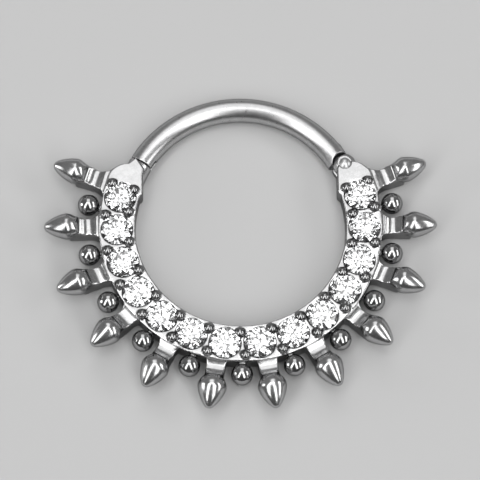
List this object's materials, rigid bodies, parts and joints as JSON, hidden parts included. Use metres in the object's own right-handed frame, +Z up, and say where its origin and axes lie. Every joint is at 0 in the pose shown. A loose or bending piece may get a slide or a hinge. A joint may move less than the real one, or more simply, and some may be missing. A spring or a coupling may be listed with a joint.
{
  "type": "hinged piercing hoop",
  "caption": "Round hinged body piercing hoop with a row of round cut stones in its front face and an outer fan of bullet spikes with small balls between them.",
  "frame": {"origin": "on the surface under the middle of the hoop's outline", "axes": "+X across the hoop towards its hinge side, +Y from the middle of the spikes towards the plain wire bar, +Z up, out of the stones' front face; the hoop lies on its flat back"},
  "size_m": [0.0188, 0.0156, 0.0019],
  "materials": {
    "cast_steel": "polished cast surgical steel",
    "wire_steel": "polished drawn steel wire",
    "pin_steel": "polished riveted pin",
    "clear_stone": "clear faceted cubic zirconia"
  },
  "bodies": {
    "setting": {"setting": "cast_steel", "hinge_pin": "pin_steel", "stone_01": "clear_stone", "stone_02": "clear_stone", "stone_03": "clear_stone", "stone_04": "clear_stone", "stone_05": "clear_stone", "stone_06": "clear_stone", "stone_07": "clear_stone", "stone_08": "clear_stone", "stone_09": "clear_stone", "stone_10": "clear_stone", "stone_11": "clear_stone", "stone_12": "clear_stone", "stone_13": "clear_stone", "stone_14": "clear_stone"},
    "bar": {"bar": "wire_steel"}
  },
  "joints": [
    {"name": "bar_hinge", "type": "hinge", "parent": "setting", "child": "bar", "pos_m": [0.0051, 0.00428, 0.00058], "axis": [0, 0, -1], "range_deg": [0, 36]}
  ]
}
